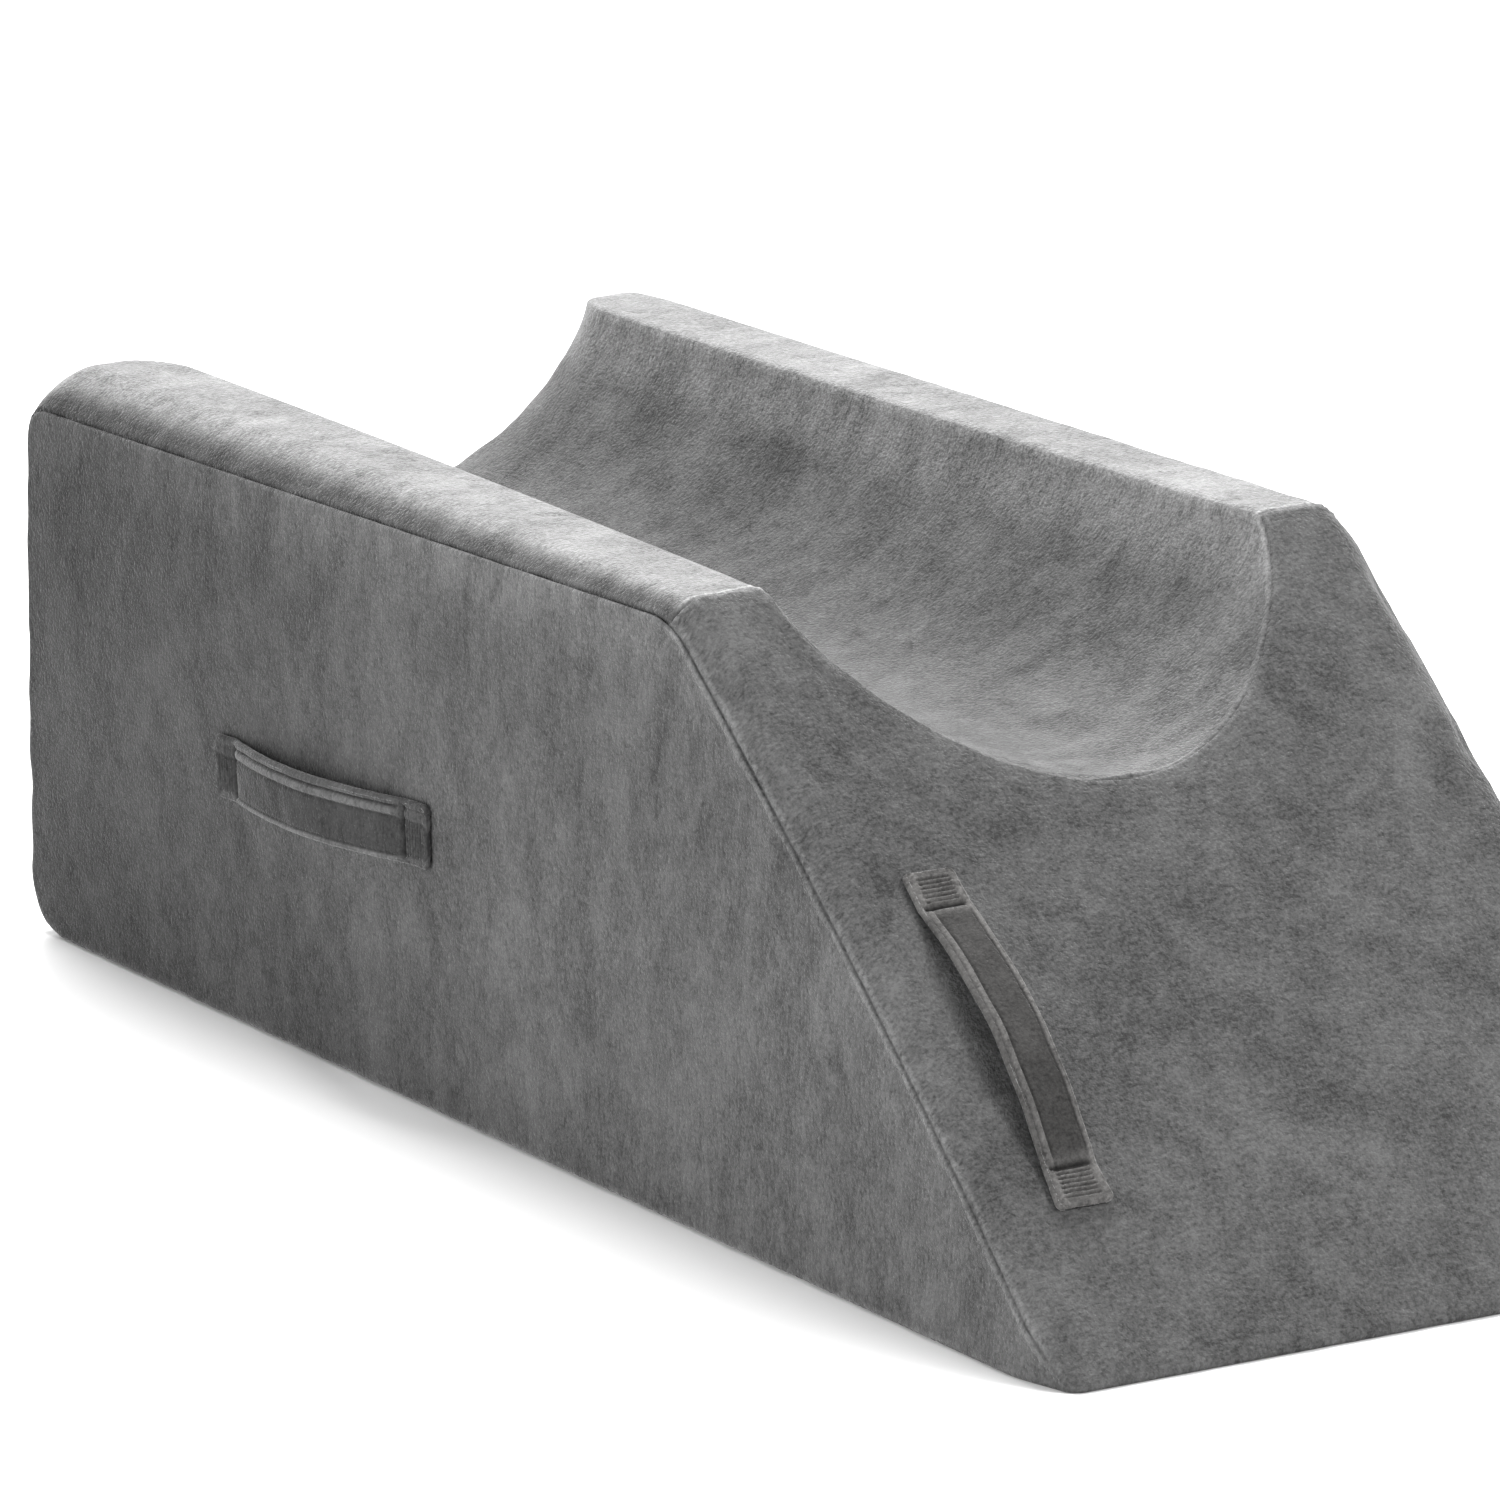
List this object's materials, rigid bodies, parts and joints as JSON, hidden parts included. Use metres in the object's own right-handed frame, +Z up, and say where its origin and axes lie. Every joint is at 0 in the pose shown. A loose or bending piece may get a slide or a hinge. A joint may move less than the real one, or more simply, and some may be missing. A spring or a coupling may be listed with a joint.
{
  "type": "leg elevation pillow",
  "caption": "Foam wedge in a sewn plush cover with a leg channel along its top, a sloping knee end and folded-strip carry handles on the side and on the slope.",
  "frame": {"origin": "centre of the flat base, on the surface that the pillow lies on", "axes": "+X along the length to the knee end, where the ramp runs down to the surface; -Y to the side panel that carries the handle; +Z up"},
  "size_m": [0.612, 0.2589, 0.1927],
  "materials": {
    "cover_plush": "short-pile grey velour, brushed, matt with a soft sheen",
    "side_handle_plush": "the cover's velour, folded to a flat tube",
    "ramp_handle_plush": "the cover's velour, folded to a flat tube"
  },
  "bodies": {
    "root": {"cushion": "cover_plush", "side_handle": "side_handle_plush", "ramp_handle": "ramp_handle_plush"}
  },
  "joints": []
}
